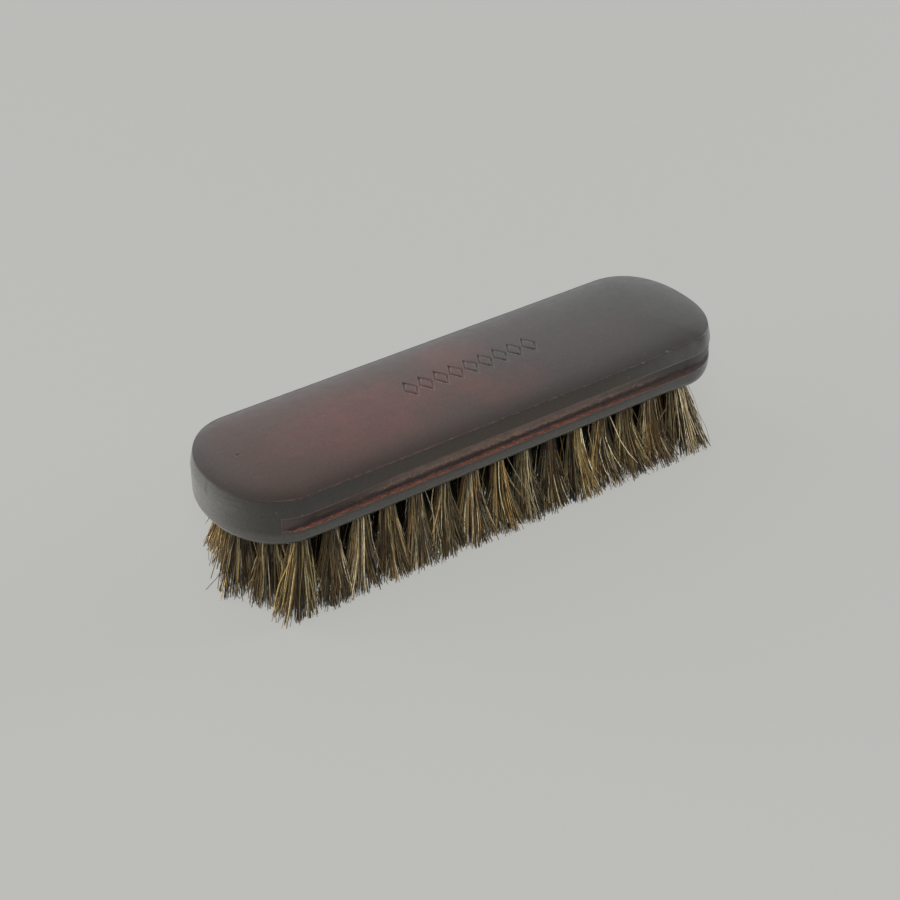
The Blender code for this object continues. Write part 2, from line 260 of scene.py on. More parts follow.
# Colours of the groove's face and of its torn ledge
GROOVE_DARK = (0.082, 0.057, 0.046)
GROOVE_PALE = (0.132, 0.090, 0.072)
GROOVE_LEFT = (0.033, 0.026, 0.022)
GROOVE_RIGHT = (0.036, 0.034, 0.031)
FRAYED = (0.170, 0.092, 0.066)
FLECK = (0.380, 0.250, 0.190)
DARK_SPOTS_AND_SHADE = (0.014, 0.007, 0.005)
TORN_BLACK = (0.009, 0.004, 0.003)
TORN_RED = (0.110, 0.030, 0.014)
TORN_ORANGE = (0.310, 0.100, 0.050)
TORN_RIGHT = (0.018, 0.005, 0.003)
TORN_RIGHT_END = (0.005, 0.003, 0.003)

# Colours of the worn arris and of the painted highlight along the groove's upper edge
BARE_LEFT = (0.120, 0.050, 0.038)
BARE_RIGHT = (0.130, 0.095, 0.080)
BARE_PALE = (0.340, 0.235, 0.200)
EDGE_HIGHLIGHT_LEFT = (0.105, 0.066, 0.055)
EDGE_HIGHLIGHT_RIGHT = (0.130, 0.098, 0.083)

# Colours of hair in shade and of the studio
HAIR_SHADE = (0.030, 0.021, 0.012)
FLOOR_COLOUR = (0.486, 0.486, 0.468, 1.0)
GLOW_COLOUR = (0.97, 0.985, 1.0, 1.0)

# Redder patches where hands have rubbed the top: x, y, half length and half width in mm, and strength
RUBBED_PATCHES = (
    (-37.0, -2.0, 42.0, 21.0, 0.84),
    (3.0, 11.0, 19.0, 12.0, 0.48),
    (7.0, -12.0, 21.0, 11.0, 0.40),
    (0.0, 0.0, 8.0, 24.0, 0.34),
    (48.0, -6.0, 24.0, 12.0, 0.12),
)

# Camera, fitted to the photo's edges
VIEW_AZIMUTH = -35.264
VIEW_ELEVATION = 34.411
VIEW_DISTANCE = 616.16 * MM
VIEW_RIGHT = 3.7225 * MM
VIEW_UP = 21.676 * MM
LENS = 80.0
SENSOR = 36.0

FLOOR_SIZE = 12.0
FLOOR_GLOW = 0.80
# Softboxes: place, target, size in metres, power in watts and whether it is mirrored
SOFTBOXES = {
    "key": ((-0.9, -1.2, 1.5), (0, 0, 0.02), 1.0, 27.0, True),
    "left": ((-1.5, 0.5, 0.40), (0, 0, 0.03), 1.5, 14.0, False),
    "rim": ((-0.9, 1.3, 0.20), (0, 0, 0.03), 0.8, 22.0, False),
    "right": ((1.4, -0.20, 0.30), (0.08, 0, 0.035), 0.8, 16.0, True),
}
# Glow of the room by direction: from and to, and its strength there, over the height and front to back
GLOW_LOW = (0.0, 0.5, 1.75, 0.85)
GLOW_HIGH = (0.5, 0.9, 0.0, 0.53)
GLOW_BACK = (-1.0, 1.0, 0.30, 1.0)


# Node helpers


def add(tree, kind, inputs=None, **settings):
    """Adds a node. An input is a value, or a socket that is linked to it."""
    node = tree.nodes.new(kind)
    for key, value in settings.items():
        setattr(node, key, value)
    for key, value in (inputs or {}).items():
        if isinstance(value, bpy.types.NodeSocket):
            tree.links.new(value, node.inputs[key])
        else:
            node.inputs[key].default_value = value
    return node


def maths(tree, operation, a, b=0.0, c=0.0, clamp=False):
    node = add(tree, "ShaderNodeMath", {0: a, 1: b, 2: c}, operation=operation, use_clamp=clamp)
    return node.outputs[0]


def rescaled(tree, value, low, high, to_low=0.0, to_high=1.0, smooth=True):
    """Maps a value from one range to another and stops at its ends."""
    inputs = {"Value": value, "From Min": low, "From Max": high, "To Min": to_low, "To Max": to_high}
    kind = "SMOOTHSTEP" if smooth else "LINEAR"
    return add(tree, "ShaderNodeMapRange", inputs, interpolation_type=kind).outputs[0]


def product(tree, *factors):
    result = factors[0]
    for factor in factors[1:]:
        result = maths(tree, "MULTIPLY", result, factor)
    return result


def mixed(tree, factor, a, b):
    inputs = {0: factor, 6: colour(a), 7: colour(b)}
    return add(tree, "ShaderNodeMix", inputs, data_type="RGBA").outputs[2]


def colour(value):
    return (*value, 1.0) if isinstance(value, tuple) else value


def noise_at(tree, place, scale, detail=3.0, roughness=0.55):
    """Noise at a place. The scale is one number, or one for each axis."""
    if isinstance(scale, tuple):
        place = add(tree, "ShaderNodeVectorMath", {0: place, 1: scale}, operation="MULTIPLY").outputs[0]
        scale = 1.0
    inputs = {"Vector": place, "Scale": scale, "Detail": detail, "Roughness": roughness}
    return add(tree, "ShaderNodeTexNoise", inputs).outputs["Fac"]


def in_millimetres(tree):
    place = add(tree, "ShaderNodeTexCoord").outputs["Object"]
    inputs = {0: place, "Scale": 1 / MM}
    return add(tree, "ShaderNodeVectorMath", inputs, operation="SCALE").outputs[0]


def attribute(tree, name, output="Fac"):
    return add(tree, "ShaderNodeAttribute", attribute_name=name).outputs[output]


def new_material(name):
    material = bpy.data.materials.new(name)
    material.use_nodes = True
    tree = material.node_tree
    return material, tree, tree.nodes["Principled BSDF"]


def wire(tree, shader, **sockets):
    """Links sockets to the shader's inputs, whose names have underscores for spaces here."""
    for name, socket in sockets.items():
        tree.links.new(socket, shader.inputs[name.replace("_", " ")])


# Materials


def rubbed_patches(tree, x, y):
    """The strength of the rubbed patches at a place, from 0 to 1."""
    total = 0.0
    for centre_x, centre_y, half_length, half_width, strength in RUBBED_PATCHES:
        along = maths(tree, "DIVIDE", maths(tree, "SUBTRACT", x, centre_x), half_length)
        across = maths(tree, "DIVIDE", maths(tree, "SUBTRACT", y, centre_y), half_width)
        away = maths(tree, "ADD", maths(tree, "POWER", along, 2.0), maths(tree, "POWER", across, 2.0))
        total = maths(tree, "ADD", total, rescaled(tree, away, 1.0, 0.0, 0.0, strength), clamp=True)
    return total


def growth_layers(tree, place, x, y, z):
    """Wavy level lines, which the wood's growth leaves on its ends."""
    warp = noise_at(tree, place, 0.09, detail=2.0)
    height = maths(tree, "MULTIPLY_ADD", warp, 3.0, z)
    layer = add(tree, "ShaderNodeCombineXYZ", {0: product(tree, x, 0.02), 1: y, 2: height}).outputs[0]
    return noise_at(tree, layer, (1.0, 0.05, 1.5), detail=5.0, roughness=0.75)


def end_grain_and_sheen_share(tree, facing, x, steep):
    """The share of end grain and of painted sheen at a place: most on the walls of the ends, away from the
    front.
    """
    end_side = maths(tree, "ADD", facing[1], rescaled(tree, x, -1.0, 1.0, 0.0, 0.60))
    on_end = maths(tree, "POWER", rescaled(tree, end_side, -0.82, 0.0, smooth=False), 2.0)
    sideways = rescaled(tree, maths(tree, "ABSOLUTE", facing[0]), 0.15, 0.60)
    return product(tree, on_end, sideways, steep)


def frayed_share(tree, place, z, from_centre):
    """The share of frayed fibres on the groove's face, just over the ledge."""
    fray = noise_at(tree, place, (0.22, 0.9, 0.9), detail=6.0, roughness=0.75)
    low = rescaled(tree, z, 36.8, 34.2)
    central = rescaled(tree, from_centre, 72.0, 50.0, 0.1, 0.9)
    return product(tree, low, rescaled(tree, fray, 0.46, 0.62), central)


def wood_surface(tree):
    """What the parts of the wood's material share: place and facing, the mesh's masks and noise."""
    place = in_millimetres(tree)
    x, y, z = add(tree, "ShaderNodeSeparateXYZ", {0: place}).outputs
    normal = add(tree, "ShaderNodeNewGeometry").outputs["Normal"]
    facing = add(tree, "ShaderNodeSeparateXYZ", {0: normal}).outputs
    up = rescaled(tree, facing[2], 0.35, 0.85)
    wood = SimpleNamespace(place=place, x=x, y=y, z=z, up=up)
    wood.steep = maths(tree, "SUBTRACT", 1.0, up)
    wood.from_centre = maths(tree, "ABSOLUTE", x)
    wood.wear = attribute(tree, "wear")
    wood.groove = attribute(tree, "groove")
    wood.ledge = attribute(tree, "ledge")
    wood.rim = attribute(tree, "rim")
    wood.dirt = attribute(tree, "dirt")
    wood.mottle = noise_at(tree, place, 0.30, detail=5.0, roughness=0.65)
    wood.fibres = noise_at(tree, place, (0.16, 2.6, 2.6), detail=5.0, roughness=0.7)
    wood.layers = growth_layers(tree, place, x, y, z)
    wood.on_end = end_grain_and_sheen_share(tree, facing, x, wood.steep)
    wood.frayed = frayed_share(tree, place, z, wood.from_centre)
    rubs = noise_at(tree, place, (0.60, 1.2, 1.2), detail=5.0, roughness=0.75)
    wood.rubs = maths(tree, "SUBTRACT", rubs, rescaled(tree, x, -40.0, 60.0, 0.0, 0.11))
    wood.worn = product(tree, wood.wear, rescaled(tree, wood.rubs, 0.38, 0.70, 0.08, 0.95))
    return wood


def top_colour(tree, wood):
    """The top: redder to the left and where it is rubbed, and darkened round its rim with painted shade."""
    blotch = noise_at(tree, wood.place, 0.10, detail=5.0, roughness=0.62)
    patches = rubbed_patches(tree, wood.x, wood.y)
    rubbed = product(tree, patches, rescaled(tree, blotch, 0.32, 0.64, 0.40, 1.0))
    top = mixed(tree, rescaled(tree, wood.x, -70.0, 75.0), TOP_LEFT, TOP_RIGHT)
    top = mixed(tree, rescaled(tree, wood.x, -74.0, -90.0), top, TOP_LEFT_END)
    top = mixed(tree, rubbed, top, TOP_RUBBED)
    return mixed(tree, product(tree, wood.rim, 0.68), top, TOP_RIM_SHADE)


def wall_colour(tree, wood):
    walls = mixed(tree, rescaled(tree, wood.from_centre, 20.0, 70.0), WALL_MIDDLE, WALL_AWAY)
    # The walls turn paler and greyer towards the right end: painted sheen
    walls = mixed(tree, rescaled(tree, wood.x, 30.0, 82.0), walls, WALL_RIGHT_SHEEN)
    walls = mixed(tree, rescaled(tree, wood.mottle, 0.35, 0.75, 0.0, 0.25), walls, WALL_MOTTLE)
    # Paler and greyer towards the lip and the lower round: painted sheen
    return mixed(tree, rescaled(tree, wood.z, 33.0, 31.0, 0.0, 0.8), walls, WALL_FOOT_SHEEN)


def with_end_grain_and_sheen(tree, wood, body):
    # The walls of the ends are paler with a painted sheen, with pale growth lines over it
    ends = mixed(tree, rescaled(tree, wood.x, -1.0, 1.0), LEFT_END_SHEEN, RIGHT_END_SHEEN)
    body = mixed(tree, wood.on_end, body, ends)
    lines = product(tree, wood.on_end, rescaled(tree, wood.layers, 0.45, 0.65, 0.0, 0.40))
    return mixed(tree, lines, body, END_LINES)


def with_arris_shade(tree, wood, body):
    """The body with a band of painted shade on the walls under the arris."""
    wide = rescaled(tree, wood.z, 37.0, 43.3, 0.0, 0.30)
    narrow = rescaled(tree, wood.z, 42.2, 43.2, 0.0, 0.35)
    shade = maths(tree, "ADD", wide, narrow)
    return mixed(tree, product(tree, shade, wood.steep), body, UNDER_ARRIS_SHADE)


def groove_colour(tree, wood):
    """The groove's face: palest in the middle, frayed and flecked towards the ledge, with dark spots that
    merge into painted shade at its foot.
    """
    face = mixed(tree, rescaled(tree, wood.mottle, 0.3, 0.7), GROOVE_DARK, GROOVE_PALE)
    ends = mixed(tree, rescaled(tree, wood.x, -30.0, 30.0), GROOVE_LEFT, GROOVE_RIGHT)
    face = mixed(tree, rescaled(tree, wood.from_centre, 18.0, 68.0, 0.0, 0.95), face, ends)
    face = mixed(tree, wood.frayed, face, FRAYED)
    flecks = noise_at(tree, wood.place, (1.6, 3.4, 3.4), detail=2.0, roughness=0.8)
    low = rescaled(tree, wood.z, 38.5, 35.5, 0.12, 0.75)
    central = rescaled(tree, wood.from_centre, 70.0, 40.0)
    face = mixed(tree, product(tree, rescaled(tree, flecks, 0.56, 0.66), low, central), face, FLECK)
    spots_and_shade = noise_at(tree, wood.place, (0.40, 0.8, 0.6), detail=6.0, roughness=0.7)
    # Towards the foot the spots merge into a band of painted shade
    spots_and_shade = maths(tree, "MULTIPLY_ADD", rescaled(tree, wood.z, 35.6, 33.5, smooth=False), 0.45, spots_and_shade)
    return mixed(tree, rescaled(tree, spots_and_shade, 0.66, 0.84, 0.0, 0.9), face, DARK_SPOTS_AND_SHADE)


def ledge_colour(tree, wood):
    """The ledge's torn fibres: from black to orange, and darker to the right."""
    fine = noise_at(tree, wood.place, (0.75, 3.2, 3.2), detail=3.0, roughness=0.8)
    strands = maths(tree, "MULTIPLY_ADD", fine, 0.6, product(tree, wood.fibres, 0.4))
    # The strands turn darker with painted shade towards the ledge's inner corner
    strands = maths(tree, "MULTIPLY_ADD", wood.dirt, -0.17, strands)
    torn = mixed(tree, rescaled(tree, strands, 0.40, 0.49), TORN_BLACK, TORN_RED)
    torn = mixed(tree, rescaled(tree, strands, 0.51, 0.63), torn, TORN_ORANGE)
    torn = mixed(tree, rescaled(tree, wood.x, 20.0, 76.0, 0.0, 0.85), torn, TORN_RIGHT)
    return mixed(tree, rescaled(tree, wood.x, 70.0, 84.0), torn, TORN_RIGHT_END)


def with_wear(tree, wood, body):
    """The body with bare wood along the arris and along the groove's upper edge, and a painted highlight on
    that edge.
    """
    bare = mixed(tree, rescaled(tree, wood.x, 0.0, 70.0), BARE_LEFT, BARE_RIGHT)
    bare = mixed(tree, rescaled(tree, wood.rubs, 0.60, 0.72), bare, BARE_PALE)
    body = mixed(tree, wood.worn, body, bare)
    under_arris = rescaled(tree, wood.z, 42.0, 41.0)
    along = rescaled(tree, wood.x, -30.0, 60.0, 0.35, 0.80)
    # A painted highlight along the groove's upper edge
    edge = product(tree, rescaled(tree, wood.wear, 0.35, 0.70), under_arris, along)
    edge_highlight_colour = mixed(tree, rescaled(tree, wood.x, -20.0, 40.0), EDGE_HIGHLIGHT_LEFT, EDGE_HIGHLIGHT_RIGHT)
    return mixed(tree, edge, body, edge_highlight_colour)


def with_dust(tree, wood, body):
    """The body with specks of dust and a fine speckle."""
    dust = add(tree, "ShaderNodeTexVoronoi", {"Vector": wood.place, "Scale": 0.21}).outputs["Distance"]
    body = mixed(tree, rescaled(tree, dust, 0.050, 0.030, 0.0, 0.28), body, DUST)
    speckle = noise_at(tree, wood.place, 1.9, detail=2.0, roughness=0.7)
    shade = rescaled(tree, speckle, 0.25, 0.75, 0.74, 1.26, smooth=False)
    return add(tree, "ShaderNodeVectorMath", {0: body, "Scale": shade}, operation="SCALE").outputs[0]


def wood_colour(tree, wood):
    body = mixed(tree, wood.up, wall_colour(tree, wood), top_colour(tree, wood))
    grain = noise_at(tree, wood.place, (0.035, 0.9, 0.9), detail=6.0, roughness=0.6)
    body = mixed(tree, rescaled(tree, grain, 0.40, 0.75, 0.0, 0.12), body, DARK_GRAIN)
    body = with_end_grain_and_sheen(tree, wood, body)
    body = with_arris_shade(tree, wood, body)
    body = mixed(tree, wood.groove, body, groove_colour(tree, wood))
    body = mixed(tree, wood.ledge, body, ledge_colour(tree, wood))
    # Grime and painted shade: strong on the crown's edge and the arris, weaker where the ledge is torn
    stained = rescaled(tree, wood.ledge, 0.0, 1.0, 0.85, 0.25)
    body = mixed(tree, product(tree, wood.dirt, stained), body, GRIME_AND_SHADE)
    body = with_wear(tree, wood, body)
    return with_dust(tree, wood, body)


def wood_roughness(tree, wood):
    """Lacquer that is glossier on the walls than on the handled top, and dull where it is gone."""
    top = rescaled(tree, wood.mottle, 0.25, 0.8, 0.36, 0.46)
    walls = rescaled(tree, wood.mottle, 0.3, 0.7, 0.19, 0.25)
    rough = add(tree, "ShaderNodeMix", {0: wood.up, 2: walls, 3: top}).outputs[0]
    for share, value in ((wood.worn, 0.58), (wood.dirt, 0.75), (wood.groove, 0.62), (wood.ledge, 0.80)):
        rough = add(tree, "ShaderNodeMix", {0: share, 2: rough, 3: value}).outputs[0]
    return rough


def wood_relief(tree, wood):
    """Pores and unevenness, lines on the ends and torn fibres in the groove, in millimetres."""
    pores = noise_at(tree, wood.place, (0.35, 5.0, 5.0), detail=3.0, roughness=0.7)
    height = maths(tree, "MULTIPLY_ADD", pores, 0.008, product(tree, wood.mottle, 0.030))
    height = product(tree, height, maths(tree, "MULTIPLY_ADD", wood.up, 0.8, 0.2))
    height = maths(tree, "ADD", height, product(tree, wood.on_end, wood.layers, 0.010))
    height = maths(tree, "MULTIPLY_ADD", product(tree, wood.groove, wood.frayed, wood.fibres), 0.16, height)
    return maths(tree, "ADD", height, product(tree, wood.ledge, wood.fibres, 0.30))


def wood_material():
    """Dark stained, lacquered wood with rubbed edges and bare torn fibres in the groove's ledge."""
    material, tree, shader = new_material("stained_wood_finish")
    wood = wood_surface(tree)
    bump = add(tree, "ShaderNodeBump", {"Height": wood_relief(tree, wood), "Distance": MM, "Strength": 1.0})
    wire(tree, shader, Base_Color=wood_colour(tree, wood), Roughness=wood_roughness(tree, wood),
         Normal=bump.outputs[0])
    shader.inputs["Specular IOR Level"].default_value = 0.55
    return material


def hair_material():
    """Coarse horsehair: each hair has its own tone, held in the mesh."""
    material, tree, shader = new_material("horsehair_strands")
    place = in_millimetres(tree)
    tone = attribute(tree, "hair_tone", "Color")
    patchy = noise_at(tree, place, (1.6, 1.6, 0.8), detail=4.0)
    # The tone is darkened in patches with painted shade
    tone = mixed(tree, rescaled(tree, patchy, 0.40, 0.70, 0.0, 0.50), tone, HAIR_SHADE)
    rough = rescaled(tree, patchy, 0.3, 0.7, 0.28, 0.42)
    wire(tree, shader, Base_Color=tone, Roughness=rough)
    return material


def floor_material():
    """A plain pale floor, which keeps a soft shadow of what stands on it."""
    material, tree, shader = new_material("pale_floor")
    shader.inputs["Base Color"].default_value = FLOOR_COLOUR
    shader.inputs["Roughness"].default_value = 0.9
    shader.inputs["Specular IOR Level"].default_value = 0.1
    even = add(tree, "ShaderNodeEmission", {"Color": FLOOR_COLOUR, "Strength": 1.0})
    path = add(tree, "ShaderNodeLightPath")
    seen = maths(tree, "ADD", path.outputs["Is Camera Ray"], path.outputs["Is Glossy Ray"], clamp=True)
    seen = maths(tree, "MULTIPLY", seen, FLOOR_GLOW)
    blend = add(tree, "ShaderNodeMixShader", {0: seen, 1: shader.outputs[0], 2: even.outputs[0]})
    tree.links.new(blend.outputs[0], tree.nodes["Material Output"].inputs["Surface"])
    return material


# Block


def smoothstep(value):
    value = np.clip(value, 0.0, 1.0)
    return value * value * (3 - 2 * value)


def eased(value, low, high):
    """A smooth step from 0 at one value to 1 at another, which may be the lower one."""
    return smoothstep((value - low) / (high - low))


def groove_stop(run_out, squareness):
    """The angle round an end at which a groove stops."""
    return math.acos((run_out / END_LENGTH) ** (squareness / 2))


def quarter_angles(run_out, squareness):
    """Angles from a straight's end round to the tip, with a close pair where the groove stops."""
    stop = groove_stop(run_out, squareness)
    outer_count = round(END_COLUMNS * (1 - stop / (math.pi / 2)))
    outer = np.linspace(math.pi / 2, stop, outer_count)[1:]
    inner = np.linspace(stop - GROOVE_END_WALL / HALF_WIDTH, 0.0, END_COLUMNS - outer_count)
    return np.concatenate([outer, inner])


def end_outline(squareness):
    """The columns of outline() round the right end, from the front to the rear. The squareness is that
    of the front half and that of the rear half."""
    far, near = zip(reversed(GROOVE_RUN_OUTS), squareness)
    angles = np.concatenate([-quarter_angles(*far), quarter_angles(*near)[-2::-1]])
    square = np.where(angles < 0, *squareness)
    along = np.abs(np.cos(angles)) ** (2 / square)
    across = np.sign(angles) * np.abs(np.sin(angles)) ** (2 / square)
    slope = square - 1
    normal = np.stack([along**slope / END_LENGTH, np.sign(across) * np.abs(across) ** slope / HALF_WIDTH])
    normal /= np.hypot(*normal)
    limit = np.where(angles < 0, groove_stop(*far), groove_stop(*near)) - 1e-9
    grooved = (np.abs(angles) >= limit) * 1.0
    stops = grooved * (np.roll(grooved, 1) * np.roll(grooved, -1) == 0)
    stops[[0, -1]] = 0
    return np.stack([HALF_STRAIGHT + END_LENGTH * along, HALF_WIDTH * across, *normal, grooved, stops])


def outline():
    """The arris's plan as columns: x, y, outward normal x and y, whether the groove reaches it, and
    whether the groove stops there. It runs along the front, round the right end, and back."""
    xs = np.linspace(-HALF_STRAIGHT, HALF_STRAIGHT, SIDE_COLUMNS)
    side = np.ones_like(xs)
    front = np.stack([xs, -HALF_WIDTH * side, 0 * side, -side, side, 0 * side])
    turned = np.array([[-1.0], [-1.0], [-1.0], [-1.0], [1.0], [1.0]])
    right, left = end_outline(RIGHT_SQUARENESS), end_outline(LEFT_SQUARENESS) * turned
    return np.concatenate([front, right, front * turned, left], axis=1)


def groove_share(x, y):
    """The share of the groove's depth: it deepens steadily from each of its ends."""
    along = -x * np.sign(y)
    near, far = GROOVE_RUN_OUTS
    near_fade, far_fade = GROOVE_FADES
    share = np.minimum((along + HALF_STRAIGHT + near) / near_fade, (HALF_STRAIGHT + far - along) / far_fade)
    share = np.clip(share, 0.0, 1.0)
    return 0.5 * share + 0.5 * smoothstep(share)


def crown_height(share):
    """The crown's height over the arris, at a share of the way from its spine to the arris."""
    return CROWN_RISE * sum(part * (1 - share**power) for part, power in CROWN_CURVES)


def roughly(points, size, seed):
    """Smooth noise at each point, for detail of about the given size."""
    offset = Vector((seed * 7.3, seed * 3.1, seed * 5.7))
    return np.array([noise.noise(Vector(point) / size + offset) for point in points])


def block_plan():
    """The outline with what varies along it: the arris's tuck, the groove's form and the wear."""
    x, y, nx, ny, grooved, stops = outline()
    plan = SimpleNamespace(x=x, y=y, nx=nx, ny=ny, grooved=grooved, stops=stops)
    plan.tuck = ARRIS_TUCK * (y < 0) * eased(x / MM, *TUCK_START) * eased(x / MM, *TUCK_STOP)
    plan.dip = GROOVE_DIP * eased(x * np.sign(y) / MM, *DIP_RANGE)
    plan.depth = grooved * groove_share(x, y)
    plan.torn = eased(plan.depth, 0, TORN_DEPTH)
    plan.sideways = eased(np.abs(ny), *SIDEWAYS)
    plan.handled = LEAST_WEAR + (1 - LEAST_WEAR) * plan.sideways
    return plan


def ring_of(x, y, z, wear=0.0, groove=0.0, ledge=0.0, rim=0.0, dirt=0.0):
    """A ring of points: the place of each and its share of every mask."""
    return np.stack([value + 0 * x for value in (x, y, z, wear, groove, ledge, rim, dirt)], axis=-1)


def outset_ring(plan, outset, level, **masks):
    """The ring that stands out from the plan by an outset, at a level."""
    return ring_of(plan.x + plan.nx * outset, plan.y + plan.ny * outset, level, **masks)


def crown_rings(plan):
    """The crown, from its spine out to the arris."""
    x = plan.x - plan.nx * plan.tuck
    y = plan.y - plan.ny * plan.tuck
    spine = np.clip(x, -SPINE_END, SPINE_END)
    for share in np.concatenate([np.linspace(0, 0.85, 16, endpoint=False), np.linspace(0.85, CROWN_END, 12)]):
        wear = eased(share, 1 - WORN_BAND, 1) * CROWN_WEAR * plan.handled
        # Painted shade darkens the crown over the rim band towards the arris
        rim = max(0.0, (share - 1 + RIM_SHADE_BAND) / RIM_SHADE_BAND) ** 2
        # Painted shade in a thin band along the crown's edge at the sides
        darkening = eased(share, 1 - CROWN_SHADE_BAND, 1) * CROWN_SHADE * plan.sideways
        level = ARRIS_LEVEL + crown_height(share)
        yield ring_of(spine + (x - spine) * share, y * share, level, wear=wear, rim=rim, dirt=darkening)


def arris_rings(plan):
    """The arris, a little rounded, worn where hands rub it and grimy elsewhere."""
    darkening = ARRIS_GRIME * (1 - plan.handled)
    for degrees in (25, 45, 65, 90):
        angle = math.radians(degrees)
        outset = -ARRIS_ROUND * (1 - math.sin(angle)) - plan.tuck
        drop = ARRIS_ROUND * (1 - math.cos(angle)) - crown_height(CROWN_END) * math.cos(angle)
        wear = plan.handled * (1.0 if degrees < 90 else 0.5)
        yield outset_ring(plan, outset, ARRIS_LEVEL - drop, wear=wear, rim=1.0, dirt=darkening)


def upper_wall_rings(plan):
    """The wall over the grooves, which bulges out from under the arris."""
    for share in np.concatenate([np.linspace(0, 0.93, 8)[1:], [0.97, 1.0]]):
        outset = WALL_BULGE * (1 - (1 - share) ** BULGE_POWER) - plan.tuck * (1 - share)
        level = ARRIS_LEVEL - (UPPER_WALL + plan.dip) * share
        # The last rings over the groove carry a painted highlight along its upper edge, through the wear mask
        wear = plan.grooved * GROOVE_EDGE_HIGHLIGHT * (share > 0.95)
        yield outset_ring(plan, outset, level, wear=wear)


def groove_level(plan, share):
    """The level at a share of the way down the groove, from its upper edge to the lip."""
    return ARRIS_LEVEL - (UPPER_WALL + plan.dip) - (GROOVE_HEIGHT - plan.dip) * share


def groove_rings(plan):
    """The groove's face, from its upper edge down to the ledge."""
    for share in np.concatenate([[0.006, 0.02], np.linspace(0.05, LEDGE_SHARE, 15)]):
        hollow = math.sin(math.pi / 2 * share / LEDGE_SHARE) ** HOLLOW_POWER
        cut = plan.grooved * GROOVE_STEP * min(1.0, share / 0.02)
        cut = cut + (GROOVE_DEPTH - GROOVE_STEP) * hollow * plan.depth
        # The groove's upper edge gets a painted highlight through the wear mask, and its stops get wear
        wear = GROOVE_WEAR_AND_HIGHLIGHT * (1.0 if share < 0.03 else plan.stops) * plan.grooved
        torn = eased(share, *TORN_RANGE) * plan.torn
        # Towards the ledge the face is torn, and darkened with painted shade
        yield outset_ring(plan, WALL_BULGE - cut, groove_level(plan, share), wear=wear, groove=plan.grooved,
                          ledge=torn, dirt=torn)


def ledge_rings(plan):
    """The torn ledge, from the groove's foot out to the lip."""
    for step in np.linspace(0, 1, 8)[1:]:
        share = LEDGE_SHARE + (1 - LEDGE_SHARE) * step
        cut = (GROOVE_STEP * plan.grooved + (GROOVE_DEPTH - GROOVE_STEP) * plan.depth) * (1 - step)
        torn = plan.torn * (1.0 if step < 0.99 else 0.3)
        # The ledge is darkened with painted shade at its inner corner, fading out towards the lip
        yield outset_ring(plan, WALL_BULGE - cut, groove_level(plan, share), wear=GROOVE_WEAR_AND_HIGHLIGHT * plan.stops,
                          groove=plan.grooved * (step < 0.9), ledge=torn, dirt=eased(step, 0.6, 0.0) * torn)


def lower_rings(plan):
    """The lip under the grooves and the rounded lower edge, down to the underside."""
    lip_top = UPPER_WALL + GROOVE_HEIGHT
    for share in (0.15, 0.5, 1.0):
        yield outset_ring(plan, WALL_BULGE, ARRIS_LEVEL - lip_top - LIP_HEIGHT * share)
    squarer = SQUARE_CORNER * eased(plan.x / MM, *CORNER_ALONG) * eased(-plan.y / MM, *CORNER_ACROSS)
    for angle in np.linspace(0, math.pi / 2, 12)[1:]:
        outset = WALL_BULGE - LOWER_ROUND_INSET * (1 - squarer) * (1 - math.cos(angle))
        drop = lip_top + LIP_HEIGHT + LOWER_ROUND_RISE * math.sin(angle)
        yield outset_ring(plan, outset, ARRIS_LEVEL - drop)


def relief(points, kind, seed):
    """Smooth noise at each point, of one kind's size and height."""
    size, height = kind
    return roughly(points, size, seed) * height


def roughen(points, masks, plan):
    """Moves the surface a little: torn fibres on the ledge, and chips along the arris."""
    normal = np.stack([plan.nx, plan.ny, 0 * plan.nx], axis=-1)
    for ring, mask in zip(points, masks):
        wear, _, ledge, _, _ = mask.T
        torn = ledge > 0.02
        if torn.any():
            stretch = ring[torn] * FIBRE_STRETCH
            rough = relief(stretch, COARSE_FIBRES, 1) + relief(stretch, FINE_FIBRES, 2)
            ring[torn] += normal[torn] * (rough * ledge[torn])[:, None]
            ring[torn, 2] += relief(stretch, FIBRE_DROP, 3) * ledge[torn]
        chipped = wear > 0.9
        if chipped.any():
            size, height = CHIPS
            chips = np.maximum(roughly(ring[chipped], size, 4) - CHIP_LEVEL, 0) * height
            ring[chipped] -= normal[chipped] * chips[:, None]
            ring[chipped, 2] -= chips


def block_mesh():
    """The block without its holes: rings from the spine down to the underside, joined by quads."""
    plan = block_plan()
    parts = (crown_rings, arris_rings, upper_wall_rings, groove_rings, ledge_rings, lower_rings)
    rings = np.array([ring for part in parts for ring in part(plan)])
    points, masks = rings[..., :3], rings[..., 3:]
    roughen(points, masks, plan)
    count, around = points.shape[:2]
    index = np.arange(count * around).reshape(count, around)
    after = np.roll(index, -1, axis=1)
    quads = np.stack([index[:-1], index[1:], after[1:], after[:-1]], axis=-1).reshape(-1, 4)
    mesh = bpy.data.meshes.new("block_body")
    floor = index[-1][::-1].tolist()
    mesh.from_pydata(points.reshape(-1, 3).tolist(), [], quads.tolist() + [floor])
    for name, values in zip(MASKS, masks.reshape(-1, len(MASKS)).T):
        layer = mesh.attributes.new(name, "FLOAT", "POINT")
        layer.data.foreach_set("value", values.astype(np.float32))
    bm = bmesh.new()
    bm.from_mesh(mesh)
    bmesh.ops.remove_doubles(bm, verts=bm.verts, dist=0.002 * MM)
    bmesh.ops.dissolve_degenerate(bm, edges=bm.edges, dist=0.001 * MM)
    bmesh.ops.recalc_face_normals(bm, faces=bm.faces)
    bm.to_mesh(mesh)
    bm.free()
    return mesh


